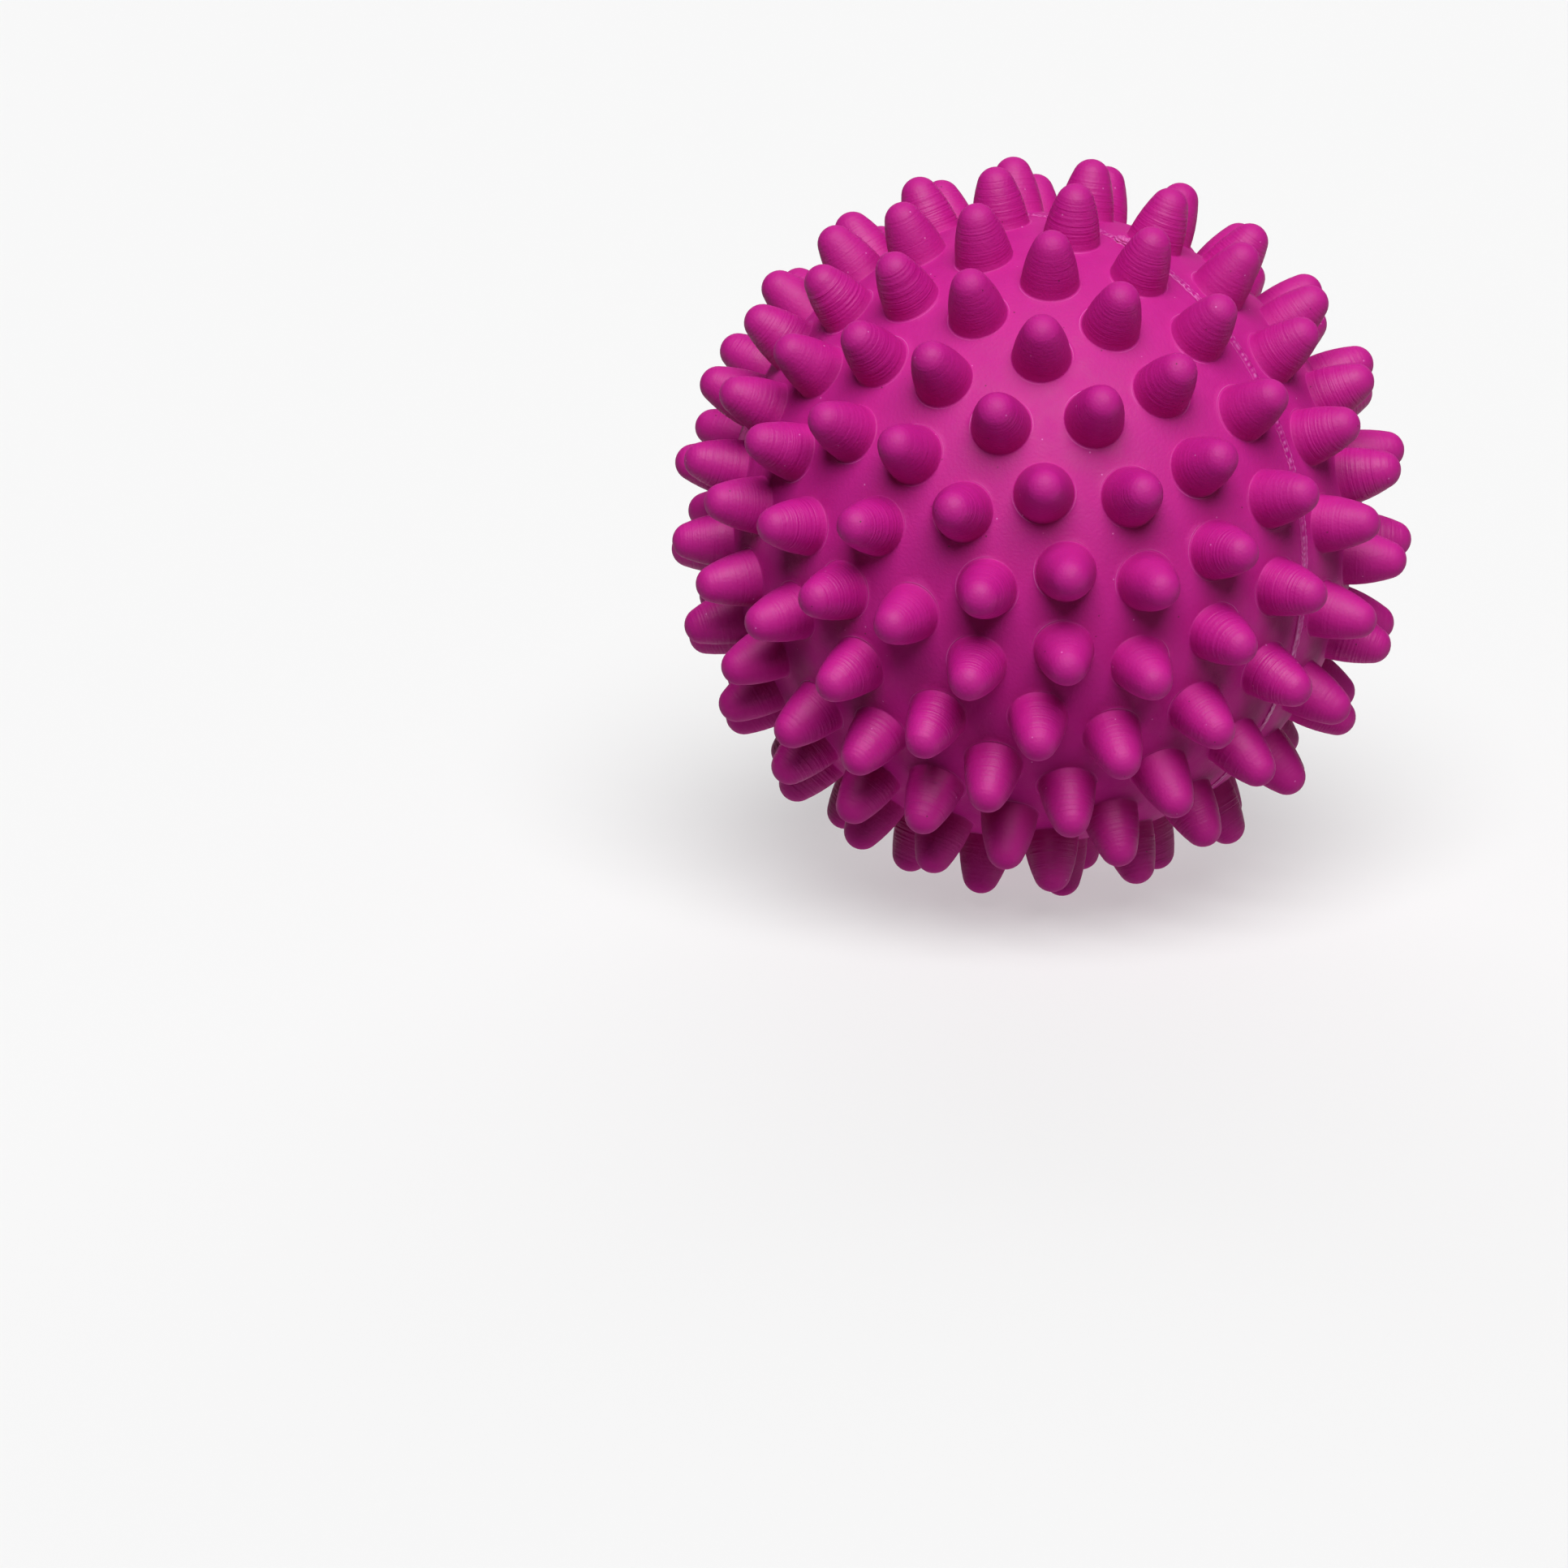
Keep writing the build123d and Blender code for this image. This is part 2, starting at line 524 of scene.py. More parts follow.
@dataclass(frozen=True)
class LightTable:
    """Opal acrylic lit from below, which gives the eye a plain pale ground and faint shadows."""

    name: str = "opal acrylic"
    colour: str = "#A8A8A8"
    glow_colour: str = "#FFFFFF"
    glow: float = 0.47
    roughness: float = 0.9

    def material(self) -> bpy.types.Material:
        """Build the material.

        Returns:
            The new material.
        """
        made = bpy.data.materials.new(self.name)
        made.use_nodes = True
        shader = made.node_tree.nodes["Principled BSDF"]
        shader.inputs["Base Color"].default_value = linear(self.colour)
        shader.inputs["Roughness"].default_value = self.roughness
        shader.inputs["Emission Color"].default_value = linear(self.glow_colour)
        shader.inputs["Emission Strength"].default_value = self.glow
        return made


# ---------------------------------------------------------------- the half shells


class BallPiece:
    """What every piece of the ball shares: how it takes its finish and its place."""

    def dress(self, piece: bpy.types.Object, material: bpy.types.Material, node: Part,
              slot: str) -> None:
        """Give the piece its finish and its place in the frame.

        Args:
            piece: the built piece.
            material: its material.
            node: the CAD node that it stands for.
            slot: name of a material slot; not used.
        """
        piece.data.materials.append(material)
        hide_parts(node.value)
        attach(piece, "root")


@dataclass
class HalfShell(BallPiece):
    """One moulded half: its wall, its spikes, and the rim and inside that close it."""

    half: Half
    form: BallForm
    layout: SpikeLayout
    ray_step: float = math.radians(10.5)
    tip_rings: int = 6
    flank_rings: int = 5
    fillet_radius: float = 0.12
    fillet_rings: int = 2
    ridge_gap: float = 0.03
    ridge_width: float = 0.10
    ridge_height: float = 0.045
    # Share of the paler colour painted on the ridge's crest: a painted highlight.
    ridge_highlight: float = 0.6
    ridge_presence: float = 0.1
    ridge_waver: Waver = Waver(1.0, range(1, 4))
    wall_rings: int = 3
    dome_rings: int = 12
    pip_radius: float = 0.12
    pip_depth: float = 0.04
    marks_fade_in: float = 0.8
    marks_fade_out: float = 1.5
    faintest_marks: float = 0.3
    marks_shift: float = 40.0
    # Cosines from a spike's axis: to the furthest spike that can be its neighbour, to the
    # furthest corner that its patch can have, and to Z where Z is too near to square up with.
    neighbour_cosine: float = 0.7
    corner_cosine: float = 0.5
    steep_cosine: float = 0.8
    weld_digits: int = 4
    seed: int = 11
    points: list[np.ndarray] = field(default_factory=list)
    places: list[np.ndarray] = field(default_factory=list)
    marks: list[np.ndarray] = field(default_factory=list)
    flash_and_highlight: list[np.ndarray] = field(default_factory=list)
    faces: list[np.ndarray] = field(default_factory=list)

    @property
    def pole(self) -> np.ndarray:
        """Unit vector along the half's pole."""
        return np.array([0.0, self.half.value, 0.0])

    def spike_profile(self) -> tuple[np.ndarray, np.ndarray]:
        """Half outline of a spike, from the rim of its apex pip to the wall past its base.

        It runs round the tip's circle, down the flank's circle, and round a small fillet
        to the wall's circle. The low ridge round the base is added ray by ray later.

        Returns:
            Distances from the spike's axis, and heights along it from the ball's centre.
        """
        form, fillet = self.form, self.fillet_radius
        flank_centre, flank_radius = form.flank_circle()
        up_to_tip = form.tip_centre - flank_centre
        shoulder_angle = math.atan2(up_to_tip[1], up_to_tip[0])
        # The fillet's centre is one fillet radius off both the flank and the wall.
        reach, span = flank_radius + fillet, np.linalg.norm(flank_centre)
        rise = form.body_radius + fillet
        turn = math.acos((reach**2 + span**2 - rise**2) / (2 * reach * span))
        foot_angle = math.atan2(-flank_centre[1], -flank_centre[0]) + turn
        down_to_foot = np.array([math.cos(foot_angle), math.sin(foot_angle)])
        fillet_centre = flank_centre + reach * down_to_foot
        end_angle = math.atan2(-fillet_centre[1], -fillet_centre[0])
        pip_angle = math.acos(self.pip_radius / form.spike_tip_radius)
        arcs = [
            (form.tip_centre, form.spike_tip_radius, pip_angle, shoulder_angle, self.tip_rings),
            (flank_centre, flank_radius, shoulder_angle, foot_angle, self.flank_rings),
            (fillet_centre, fillet, foot_angle - math.pi, end_angle, self.fillet_rings),
        ]
        outline = []
        for centre, radius, start, end, rings in arcs:
            angle = np.linspace(start, end, rings + 1)[1 if outline else 0 :, None]
            outline.append(centre + radius * np.concatenate([np.cos(angle), np.sin(angle)], -1))
        outline = np.concatenate(outline)
        return outline[:, 0], outline[:, 1]

    def cell_rays(self, axis: np.ndarray, others: np.ndarray, across: np.ndarray,
                  up: np.ndarray) -> tuple[np.ndarray, np.ndarray]:
        """Rays over the wall from a spike to the edge of the patch that is its own.

        The patch holds the wall that is nearer this spike than any other, and stops at
        the seam groove. Its corners are worked out exactly, and the rays between two
        corners are evenly spaced, so two patches that meet share their edge's points.

        Args:
            axis: the spike's axis.
            others: axes of the spikes round it.
            across: unit vector square to the axis, where the rays' angles start.
            up: unit vector square to both, a quarter turn further on.

        Returns:
            The rays' angles, and the arc from the axis to the patch's edge along each.
        """
        seam_sine = self.form.groove_half_width / self.form.body_radius
        corners = self._corners(axis, others, seam_sine)
        angles = np.sort(np.arctan2(corners @ up, corners @ across))
        spans = np.diff(np.append(angles, angles[0] + 2 * math.pi))
        # A span that is a whole number of steps, but for rounding, takes no ray more.
        steps = np.ceil(spans / self.ray_step - ANGLE_SLACK)
        counts = np.maximum(1, steps).astype(int)
        rays = np.concatenate([
            start + span * np.arange(count) / count
            for start, span, count in zip(angles, spans, counts)
        ])
        heading = np.outer(np.cos(rays), across) + np.outer(np.sin(rays), up)
        # A ray leaves towards another spike where it is as near to that one as to its own.
        toward = -(heading @ (axis - others).T)
        start = 1 - others @ axis
        to_others = np.where(toward > COSINE_SLACK, np.arctan2(start, toward), math.pi)
        lean = np.arctan2(heading @ self.pole, axis @ self.pole)
        size = np.hypot(heading @ self.pole, axis @ self.pole)
        to_seam = lean + np.arccos(np.clip(seam_sine / size, -1, 1))
        return rays, np.minimum(to_others.min(1), to_seam)

    def _corners(self, axis: np.ndarray, others: np.ndarray, seam_sine: float) -> np.ndarray:
        """Find the corners of a spike's patch.

        They are the directions that are equally near three spikes, or equally near two and
        on the seam groove's edge, and nearer no other.

        Args:
            axis: the spike's axis.
            others: axes of the spikes round it.
            seam_sine: sine of the groove edge's latitude.

        Returns:
            (n, 3) unit vectors.
        """
        first, second = np.triu_indices(len(others), 1)
        triple = np.cross(others[first] - axis, others[second] - axis)
        triple /= np.linalg.norm(triple, axis=1, keepdims=True)
        triple *= np.sign(triple @ axis)[:, None]
        # On the groove's edge: the point of the edge's plane nearest the origin and square
        # to the two spikes' bisector, then out along both until it is on the unit sphere.
        normal = axis - others
        normal /= np.linalg.norm(normal, axis=1, keepdims=True)
        tilt = normal @ self.pole
        base = self.pole - tilt[:, None] * normal
        base *= (seam_sine / (1 - tilt**2))[:, None]
        line = np.cross(normal, self.pole)
        line /= np.linalg.norm(line, axis=1, keepdims=True)
        reach = np.sqrt(np.maximum(0, 1 - (base**2).sum(1)))[:, None]
        found = np.concatenate([triple, base + reach * line, base - reach * line])
        nearest = found @ axis >= (found @ others.T).max(1) - COSINE_SLACK
        on_half = found @ self.pole >= seam_sine - COSINE_SLACK
        return found[nearest & on_half & (found @ axis > self.corner_cosine)]

    def add_spike_patch(self, axis: np.ndarray, others: np.ndarray,
                        rng: np.random.Generator) -> None:
        """Add a spike and the wall round it, as a grid of rings by rays closed at the apex.

        A point is its height along the spike's axis, plus its distance from the axis along
        its ray. Past the base come the ridge left by the mould insert, whose height fades
        in and out round the spike, and rings on the wall that spread evenly to the edge.
        The ridge's crest is painted paler, a painted highlight.

        Args:
            axis: the spike's axis.
            others: axes of the spikes round it.
            rng: source of the ridge's and the marks' strength and place.
        """
        # The helper for squaring up is whichever of Z and X lies well off the axis.
        steep = abs(axis[2]) >= self.steep_cosine
        across = np.cross([1.0, 0.0, 0.0] if steep else [0.0, 0.0, 1.0], axis)
        across /= np.linalg.norm(across)
        up = np.cross(axis, across)
        rays, edge = self.cell_rays(axis, others, across, up)
        out, height = self.spike_profile()
        radius = self.form.body_radius
        ridge = self.ridge_gap + self.ridge_width * np.array([0.0, 0.5, 1.0])
        ridge_arc = math.atan2(out[-1], height[-1]) + ridge[:, None] / radius
        presence = np.clip(self.ridge_presence + self.ridge_waver.sample(rays, rng), 0, 1)
        ridge_rise = np.array([[0.0], [1.0], [0.0]]) * self.ridge_height * presence
        share = np.linspace(0, 1, self.wall_rings + 1)[1:, None]
        wall_arc = ridge_arc[-1] + (edge - ridge_arc[-1]) * share
        profile_shape = (len(out), len(rays))
        out_grid = np.concatenate([
            np.broadcast_to(out[:, None], profile_shape),
            (radius + ridge_rise) * np.sin(ridge_arc),
            radius * np.sin(wall_arc),
        ])
        high_grid = np.concatenate([
            np.broadcast_to(height[:, None], profile_shape),
            (radius + ridge_rise) * np.cos(ridge_arc),
            radius * np.cos(wall_arc),
        ])
        east, north = out_grid * np.cos(rays), out_grid * np.sin(rays)
        grid = east[..., None] * across + north[..., None] * up + high_grid[..., None] * axis
        apex = self.form.outer_radius - self.pip_depth * rng.uniform(0, 1)
        first = sum(map(len, self.points))
        rows, columns = out_grid.shape
        self.points += [apex * axis[None], grid.reshape(-1, 3)]
        offset = rng.uniform(-self.marks_shift, self.marks_shift, 3)
        place = np.stack([east, north, high_grid], -1).reshape(-1, 3)
        self.places += [np.array([[0, 0, apex]]) + offset, place + offset]
        # The marks fade in above the base and out again before the apex.
        fade_in = np.clip((high_grid - radius) / self.marks_fade_in, 0, 1)
        fade_out = np.clip((self.form.outer_radius - high_grid) / self.marks_fade_out, 0, 1)
        strength = rng.uniform(self.faintest_marks, 1.0)
        self.marks += [np.zeros(1), (fade_in * fade_out * strength).ravel()]
        # The ridge's crest is painted paler where the ridge stands: a painted highlight along it.
        ridge_highlight_grid = np.zeros((rows, columns))
        ridge_highlight_grid[len(out) + 1] = self.ridge_highlight * presence
        self.flash_and_highlight += [np.zeros(1), ridge_highlight_grid.ravel()]
        self.faces += [
            fan_faces(first, first + 1 + np.arange(columns)),
            grid_faces(rows, columns, first + 1),
        ]

    def add_rim_and_inside(self) -> None:
        """Close the half: a profile of the rim and the inner wall carried round the pole.

        The profile runs in from the wall's edge at the groove, down the groove's side,
        over the land, and then round the inner sphere to the pole.
        """
        form = self.form
        skin = np.concatenate(self.points)
        level = self.half.value * form.groove_half_width
        on_edge = self._on_groove_edge(skin)
        around = np.sort(np.arctan2(skin[on_edge, 2], skin[on_edge, 0]))
        # Two patches that meet at the edge both bring the point where they meet.
        around = around[np.diff(around, prepend=around[-1] - 2 * np.pi) > ANGLE_SLACK]
        around = around if self.half is Half.FRONT else around[::-1]
        inner, groove = form.inner_radius, form.groove_radius
        edge = math.sqrt(form.body_radius**2 - form.groove_half_width**2)
        dome = np.linspace(0, math.pi / 2, self.dome_rings + 1)[:-1]
        out = np.concatenate([[edge, groove, groove], inner * np.cos(dome)])
        along = np.concatenate([[level, level, 0.0], self.half.value * inner * np.sin(dome)])
        grid = np.stack([
            np.outer(out, np.cos(around)),
            np.repeat(along[:, None], len(around), 1),
            np.outer(out, np.sin(around)),
        ], -1)
        first = sum(map(len, self.points))
        rows, columns = grid.shape[:2]
        self.points += [grid.reshape(-1, 3), inner * self.pole[None]]
        count = rows * columns
        last_ring = first + (rows - 1) * columns + np.arange(columns)
        self.faces += [
            grid_faces(rows, columns, first),
            fan_faces(first + count, last_ring)[:, ::-1],
        ]
        self.places += [np.zeros((count + 1, 3))]
        self.marks += [np.zeros(count + 1)]
        self.flash_and_highlight += [np.zeros(count + 1)]

    def build(self, name: str) -> bpy.types.Object:
        """Build the whole half as one closed mesh.

        Args:
            name: the piece's name.

        Returns:
            The piece.
        """
        rng = np.random.default_rng(self.seed)
        axes = self.layout.axes(self.half)
        for axis in axes:
            near = axes @ axis
            is_other = (near > self.neighbour_cosine) & (near < 1 - COSINE_SLACK)
            self.add_spike_patch(axis, axes[is_other], rng)
        self.add_rim_and_inside()
        points = np.concatenate(self.points)
        # Points of neighbouring patches that fall on one another become one.
        rounded = np.round(points, self.weld_digits) + 0.0
        _, kept, merged = np.unique(rounded, axis=0, return_index=True, return_inverse=True)
        merged = merged.ravel()
        faces = [tuple(row) for block in self.faces for row in merged[block].tolist()]
        piece = make_piece(name, points[kept], faces)
        places, marks, flash_and_highlight = map(np.concatenate, (self.places, self.marks, self.flash_and_highlight))
        set_point_values(piece.data, "spike_place", "FLOAT_VECTOR", places[kept])
        set_point_values(piece.data, "mark_strength", "FLOAT", marks[kept])
        set_point_values(piece.data, "flash_and_highlight", "FLOAT", flash_and_highlight[kept])
        self._sharpen_groove_edge(piece.data)
        return piece

    def _on_groove_edge(self, points: np.ndarray, slack: float = 1e-4) -> np.ndarray:
        """Find the points on the edge between the wall and the groove.

        Args:
            points: (n, 3) array in mm.
            slack: how far from the edge's level a point may be; ten times as much is
                allowed from the wall's radius.

        Returns:
            Whether each point is on the edge.
        """
        level = self.half.value * self.form.groove_half_width
        at_level = np.abs(points[:, 1] - level) < slack
        on_wall = np.abs(np.linalg.norm(points, axis=1) - self.form.body_radius) < 10 * slack
        return at_level & on_wall

    def _sharpen_groove_edge(self, mesh: bpy.types.Mesh) -> None:
        """Keep the edge between the wall and the groove crisp.

        Args:
            mesh: the half's mesh, in metres.
        """
        points = np.empty(len(mesh.vertices) * 3)
        mesh.vertices.foreach_get("co", points)
        ends = np.empty(len(mesh.edges) * 2, int)
        mesh.edges.foreach_get("vertices", ends)
        # The mesh stores single precision, which takes a wider slack.
        on_edge = self._on_groove_edge(points.reshape(-1, 3) / MM, slack=1e-3)
        sharp = mesh.attributes.new("sharp_edge", "BOOLEAN", "EDGE")
        sharp.data.foreach_set("value", on_edge[ends.reshape(-1, 2)].all(1))


# ---------------------------------------------------------------- the seam


@dataclass
class SeamBand(BallPiece):
    """Raised band over the seam, with a ragged lip of flash along each edge."""

    form: BallForm
    rise: float = 0.05
    front_lip: float = 0.17
    rear_lip: float = 0.12
    lip_width: float = 0.17
    lip_sink: float = 0.02
    lowest_lip: float = 0.1
    highest_lip: float = 1.15
    front_raggedness: float = 0.45
    rear_raggedness: float = 0.5
    slow_wander: Waver = Waver(0.05, range(3, 40))
    fine_wander: Waver = Waver(0.03, range(120, 400, 3))
    slow_ragged: Waver = Waver(1.5, range(2, 12))
    fine_ragged: Waver = Waver(1.0, range(90, 420, 3))
    # Rows over a lip: how far in by its width, how high by its height, and how much paler
    # flash colour it takes, whitened trim and painted highlight.
    lip_rows: tuple[tuple[float, float, float], ...] = (
        (0.2, 0.8, 0.5),
        (0.45, 1.0, 1.0),
        (0.7, 0.75, 0.4),
    )
    # Paler strokes along the band's crown: whitened trim and painted highlight.
    middle_flash_and_highlight: float = 0.8
    stroke_mean: float = 0.3
    strokes: Waver = Waver(1.2, range(100, 400, 3))
    around_steps: int = 1500
    seed: int = 5

    def build(self, name: str) -> bpy.types.Object:
        """Carry the band's profile round the seam.

        The profile's points are pairs of distance along Y and radius, from one foot in the
        groove over both lips to the other foot. The lips' height and place wander with
        smooth noise round the ball.

        Args:
            name: the piece's name.

        Returns:
            The piece.
        """
        rng = np.random.default_rng(self.seed)
        around = np.linspace(0, 2 * np.pi, self.around_steps, endpoint=False)
        level = np.zeros_like(around)
        front = self._edge(Half.FRONT, self.front_lip, self.front_raggedness, around, rng)
        rear = self._edge(Half.REAR, self.rear_lip, self.rear_raggedness, around, rng)
        # The crown carries strokes of the paler colour, partly whitened trim and partly painted
        # highlight.
        strokes = np.clip(self.stroke_mean + self.strokes.sample(around, rng), 0, 1)
        crown = level + self.form.body_radius + self.rise
        middle = [(level, crown, self.middle_flash_and_highlight * strokes)]
        along, radius, flash_and_highlight = np.array(front + middle + rear[::-1]).transpose(1, 0, 2)
        grid = np.stack([radius * np.cos(around), along, radius * np.sin(around)], -1)
        rows, columns = along.shape
        # The last quads close the band underneath, from the rear foot to the front one.
        wrapped = grid_faces(rows + 1, columns) % (rows * columns)
        piece = make_piece(name, grid.reshape(-1, 3), wrapped.tolist())
        set_point_values(piece.data, "flash_and_highlight", "FLOAT", flash_and_highlight)
        return piece

    def _edge(self, half: Half, lip: float, raggedness: float, around: np.ndarray,
              rng: np.random.Generator) -> list[tuple[np.ndarray, np.ndarray, np.ndarray]]:
        """Rows of points of one edge of the band, from its foot to its middle.

        Args:
            half: the half whose wall the edge lies on.
            lip: height of the lip above the wall where none of it is missing.
            raggedness: how much of that height comes and goes.
            around: angles round the seam.
            rng: source of the raggedness.

        Returns:
            For each row its distance along Y, its radius, and how much of it takes the paler
            flash colour, whitened trim and painted highlight.
        """
        half_width, body, side = self.form.groove_half_width, self.form.body_radius, half.value
        level = np.zeros_like(around)
        wander = self.slow_wander.sample(around, rng) + self.fine_wander.sample(around, rng)
        ragged = self.slow_ragged.sample(around, rng) + self.fine_ragged.sample(around, rng)
        presence = np.clip(1 - raggedness + raggedness * ragged, self.lowest_lip, self.highest_lip)
        height = lip * presence
        outer = half_width + wander
        return [
            (level + side * half_width, level + self.form.groove_radius, level),
            (side * outer, level + body - self.lip_sink, level),
            *(
                (side * (outer - inset * self.lip_width), body + tall * height, flash_and_highlight * presence)
                for inset, tall, flash_and_highlight in self.lip_rows
            ),
            (side * (outer - self.lip_width), level + body + self.rise, level),
        ]


@dataclass
class VentScar(BallPiece):
    """Crumpled stub that is left where the vent was closed."""

    form: BallForm
    outward: np.ndarray
    length: float = 1.9
    width: float = 1.2
    rise: float = 0.5
    crumple: float = 0.13
    # Paler colour over the whole stub: whitened trim, and painted highlight for its glints.
    flash_and_highlight: float = 0.4
    folds: int = 30
    most_waves: int = 9
    mean_fold: float = 0.4
    rows: int = 36
    columns: int = 64
    seed: int = 3

    def build(self, name: str) -> bpy.types.Object:
        """Build a lumpy closed blob on the seam.

        It is a sphere given by two angles, stretched along the seam, and sunk so that only
        its top stands out of the band. Its radius is 1 plus a sum of products of two
        cosines, one of each angle, folded by taking their size so that they leave creases.
        The sum has about its mean taken off, and it fades out towards the poles.

        Args:
            name: the piece's name.

        Returns:
            The piece.
        """
        rng = np.random.default_rng(self.seed)
        polar = np.linspace(0, np.pi, self.rows + 2)[1:-1, None, None]
        around = np.linspace(0, 2 * np.pi, self.columns, endpoint=False)[None, :, None]
        waves = rng.integers(1, self.most_waves + 1, (2, self.folds))
        phases = rng.uniform(0, 2 * np.pi, (2, self.folds))
        folds = np.cos(waves[0] * around + phases[0]) * np.cos(waves[1] * polar + phases[1])
        depth = np.abs(folds).sum(-1) - self.folds * self.mean_fold
        lump = 1 + self.crumple * depth * np.sin(polar[..., 0])
        across = np.array([0.0, 1.0, 0.0])
        along = np.cross(across, self.outward)
        centre = self.form.body_radius * self.outward
        polar, around = polar[..., 0], around[..., 0]
        east = self.length / 2 * lump * np.sin(polar) * np.cos(around)
        north = self.width / 2 * lump * np.sin(polar) * np.sin(around)
        high = self.rise * lump * np.cos(polar)
        grid = (
            centre
            + east[..., None] * along
            + north[..., None] * across
            + high[..., None] * self.outward
        )
        poles = centre + np.array([[self.rise], [-self.rise]]) * self.outward
        points = np.concatenate([grid.reshape(-1, 3), poles])
        top = self.rows * self.columns
        first_row = np.arange(self.columns)
        faces = [
            fan_faces(top, first_row),
            grid_faces(self.rows, self.columns),
            fan_faces(top + 1, (self.rows - 1) * self.columns + first_row)[:, ::-1],
        ]
        piece = make_piece(name, points, [row for block in faces for row in block.tolist()])
        set_point_values(piece.data, "flash_and_highlight", "FLOAT", np.full(len(points), self.flash_and_highlight))
        return piece


# ---------------------------------------------------------------- the studio


@dataclass(frozen=True)
class Lamp:
    """A wide, distant light, which falls evenly on the floor and the ball.

    The azimuth runs round the ball from the front, and the elevation is above the horizon.
    The strength is the light that reaches a surface square to it, in W/m^2, and the spread
    is the angle that the light fills, seen from the ball. All angles are in degrees.
    """

    name: str
    azimuth: float
    elevation: float
    strength: float
    spread: float = 47.0
    mirrored: bool = True

    def build(self) -> None:
        """Add the light, shown by glossy surfaces only where it is mirrored."""
        lamp = bpy.data.lights.new(self.name, "SUN")
        lamp.energy = self.strength
        lamp.angle = math.radians(self.spread)
        holder = bpy.data.objects.new(self.name, lamp)
        toward = bearing(self.azimuth, self.elevation)
        holder.rotation_euler = (-toward).to_track_quat("-Z", "Y").to_euler()
        holder.visible_glossy = self.mirrored
        bpy.context.scene.collection.objects.link(holder)


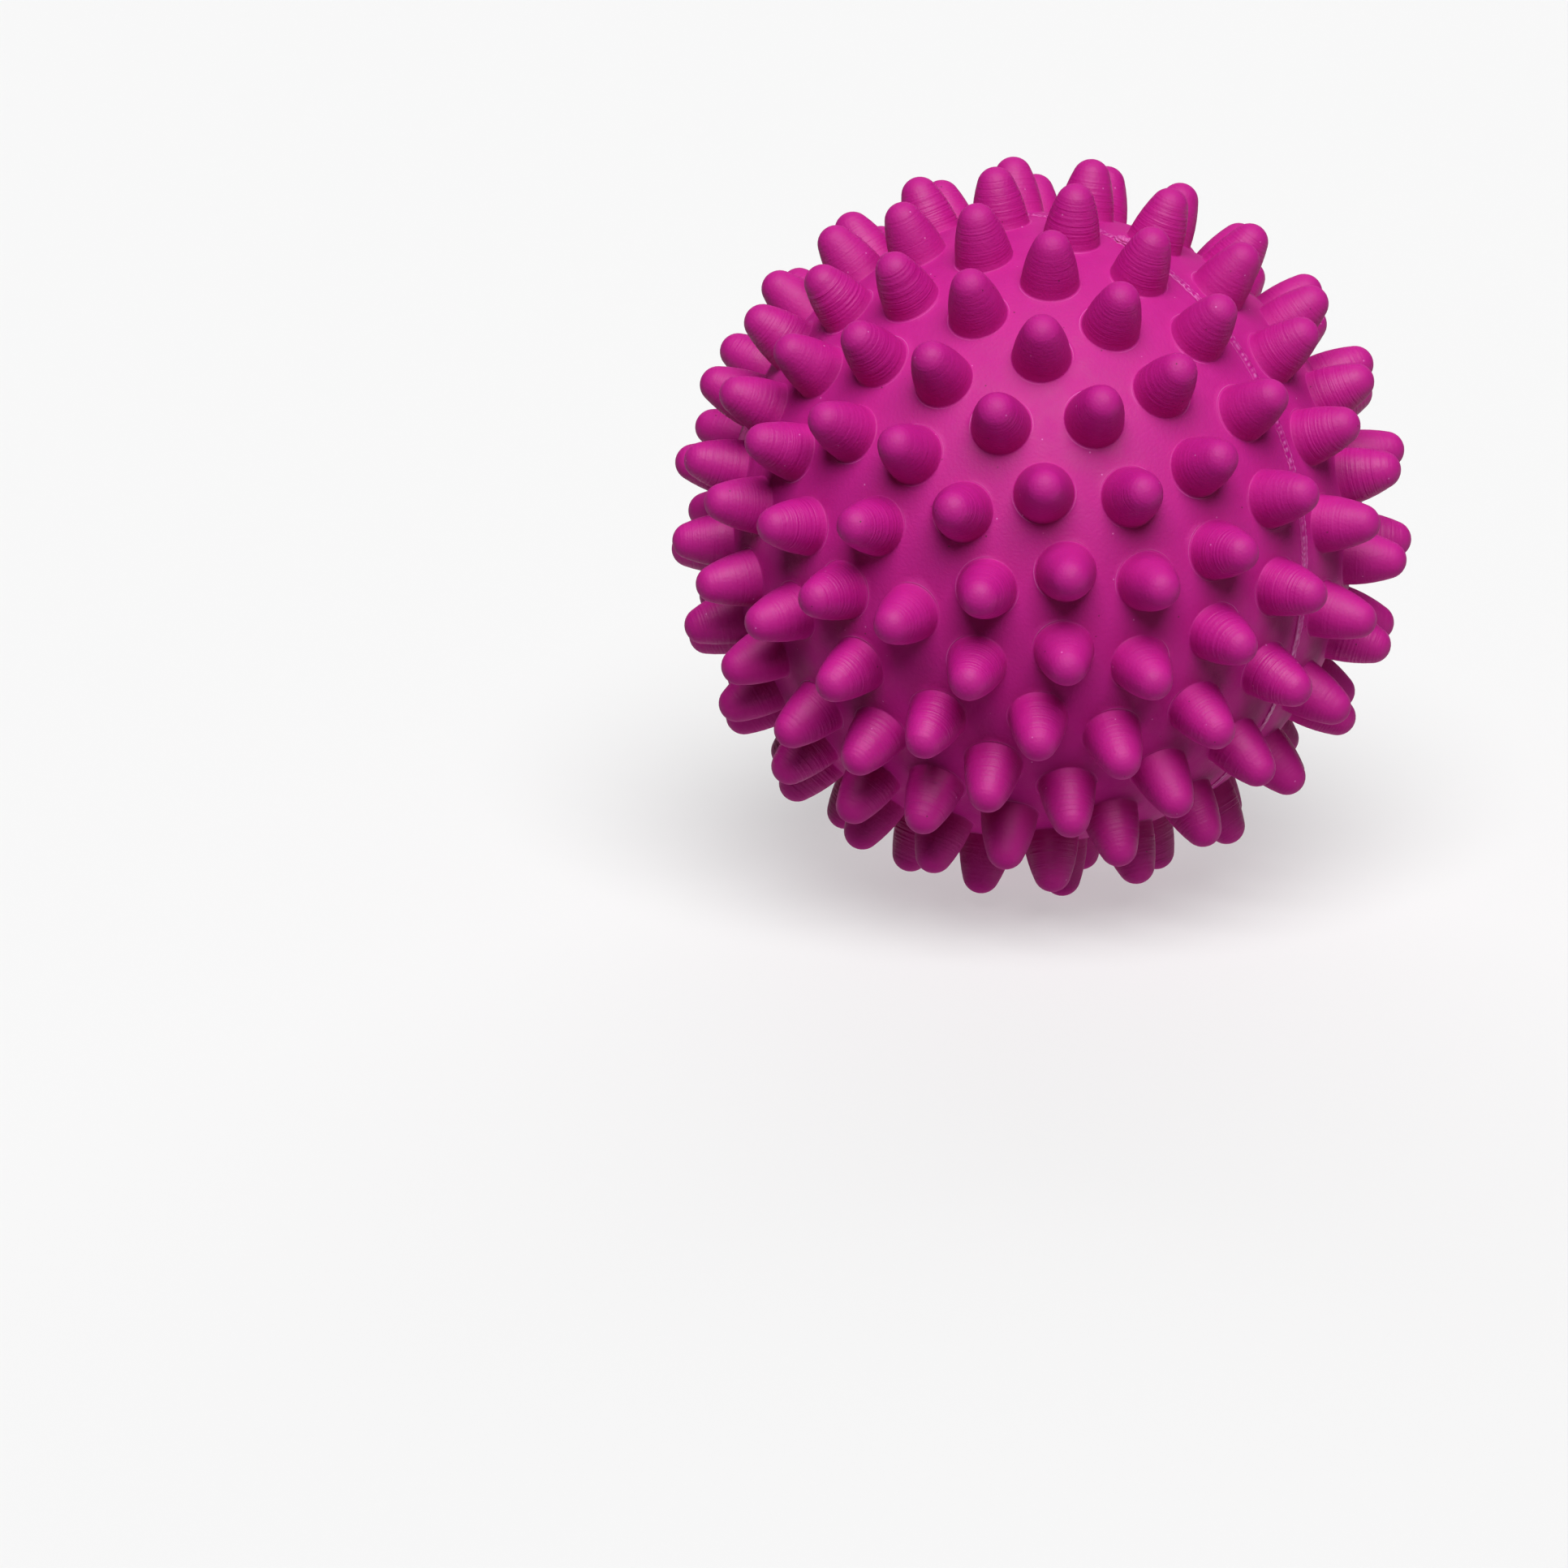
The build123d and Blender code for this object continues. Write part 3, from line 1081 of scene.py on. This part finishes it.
@dataclass
class Studio:
    """Pale floor, soft lights and the camera.

    Distances are in metres, the focal length and the sensor's width in mm, and angles in
    degrees. In the camera's view the ball's centre stands right of the middle by aside, and
    over it by above.
    """

    low: Vector
    high: Vector
    azimuth: float = 36.1
    elevation: float = 13.3
    distance: float = 0.403
    focal_length: float = 97.8
    aside: float = 0.0241
    above: float = 0.0242
    sensor_width: float = 36.0
    nearest: float = 0.01
    farthest: float = 20.0
    surroundings: float = 0.02
    floor_radius: float = 4.0
    floor_rings: int = 24
    floor_rays: int = 64
    lamps: tuple[Lamp, ...] = (
        Lamp("key", 42.0, 55.0, 3.85),
        Lamp("under", 36.0, -80.0, 0.95, mirrored=False),
        Lamp("kicker", 111.0, -20.0, 0.25),
        Lamp("back", 216.0, 12.0, 1.9, spread=70.0, mirrored=False),
    )

    @property
    def centre(self) -> Vector:
        """Middle of the ball."""
        return (self.low + self.high) / 2

    def floor(self) -> None:
        """Lay a round floor that touches the lowest spike tips, as rings round its middle."""
        rings, rays = self.floor_rings, self.floor_rays
        radii = np.linspace(0, self.floor_radius / MM, rings + 1)[1:, None]
        around = np.linspace(0, 2 * np.pi, rays, endpoint=False)[None]
        level = np.full((rings, rays), self.low.z / MM)
        grid = np.stack([radii * np.cos(around), radii * np.sin(around), level], -1)
        points = np.concatenate([grid.reshape(-1, 3), [[0, 0, self.low.z / MM]]])
        faces = grid_faces(rings, rays).tolist()
        faces += fan_faces(rings * rays, np.arange(rays)).tolist()
        table = make_piece("floor", points, faces)
        table.data.materials.append(LightTable().material())
        # The light from below is the lamp's, so the table itself neither stops nor adds any.
        table.visible_diffuse = False
        table.visible_shadow = False
        table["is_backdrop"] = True

    def camera(self) -> None:
        """Place the camera at its angle, turned so that the ball sits up and to the right."""
        data = bpy.data.cameras.new("camera")
        data.lens = self.focal_length
        data.sensor_width = self.sensor_width
        data.clip_start = self.nearest
        data.clip_end = self.farthest
        camera = bpy.data.objects.new("camera", data)
        back = bearing(self.azimuth, self.elevation)
        straight = (-back).to_track_quat("-Z", "Y")
        seen = Vector((self.aside, self.above, -self.distance))
        turn = seen.rotation_difference(Vector((0.0, 0.0, -1.0)))
        camera.location = self.centre + back * seen.length
        camera.rotation_mode = "QUATERNION"
        camera.rotation_quaternion = straight @ turn
        bpy.context.scene.collection.objects.link(camera)
        bpy.context.scene.camera = camera

    def world(self) -> None:
        """Set up white surroundings, dimmer as a light than as a backdrop."""
        world = bpy.data.worlds.new("surroundings")
        world.use_nodes = True
        tree = world.node_tree
        tree.nodes.clear()
        lit, seen = (
            add_node(tree, "ShaderNodeBackground", {"Color": (1, 1, 1, 1), "Strength": strength})
            for strength in (self.surroundings, 1.0)
        )
        path = add_node(tree, "ShaderNodeLightPath")
        mix = add_node(tree, "ShaderNodeMixShader", i0=path.outputs["Is Camera Ray"],
                       i1=lit.outputs[0], i2=seen.outputs[0])
        output = add_node(tree, "ShaderNodeOutputWorld")
        tree.links.new(mix.outputs[0], output.inputs[0])
        bpy.context.scene.world = world

    def build(self) -> None:
        """Set up the floor, the lights, the surroundings and the camera."""
        self.floor()
        for lamp in self.lamps:
            lamp.build()
        self.world()
        self.camera()
        bpy.context.scene.view_settings.view_transform = "Standard"


# ---------------------------------------------------------------- assembly


def report_piece(piece: bpy.types.Object) -> None:
    """Log a piece's name and its number of faces."""
    log.info("%s: %d faces", piece.name, len(piece.data.polygons))


def vent_direction() -> np.ndarray:
    """Find the vent from the plug's box.

    Returns:
        Unit vector from the ball's centre towards it.
    """
    low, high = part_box(Part.VENT.value)
    middle = (low + high) / 2
    return np.array(Vector((middle.x, 0.0, middle.z)).normalized())


def main() -> None:
    """Build the ball's pieces and then the studio."""
    logging.basicConfig(level=logging.INFO, format="%(message)s")
    form = BallForm.from_frame()
    layout = SpikeLayout()
    moulded = MouldedPvc().material()
    trimmed = MouldedPvc(name="trimmed PVC flash", roughness=0.42).material()
    plan = [
        ("front_half_moulding", HalfShell(Half.FRONT, form, layout, seed=10),
         Part.FRONT_SHELL, moulded, "moulded_pvc"),
        ("rear_half_moulding", HalfShell(Half.REAR, form, layout, seed=12),
         Part.REAR_SHELL, moulded, "moulded_pvc"),
        ("seam_band", SeamBand(form), Part.SEAM, trimmed, "seam_pvc"),
        ("vent_scar", VentScar(form, vent_direction()), Part.VENT, trimmed, "seam_pvc"),
    ]
    for name, maker, node, material, slot in plan:
        piece = maker.build(name)
        maker.dress(piece, material, node, slot)
        report_piece(piece)
    low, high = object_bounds()
    Studio(low, high).build()


if __name__ == "__main__":
    main()
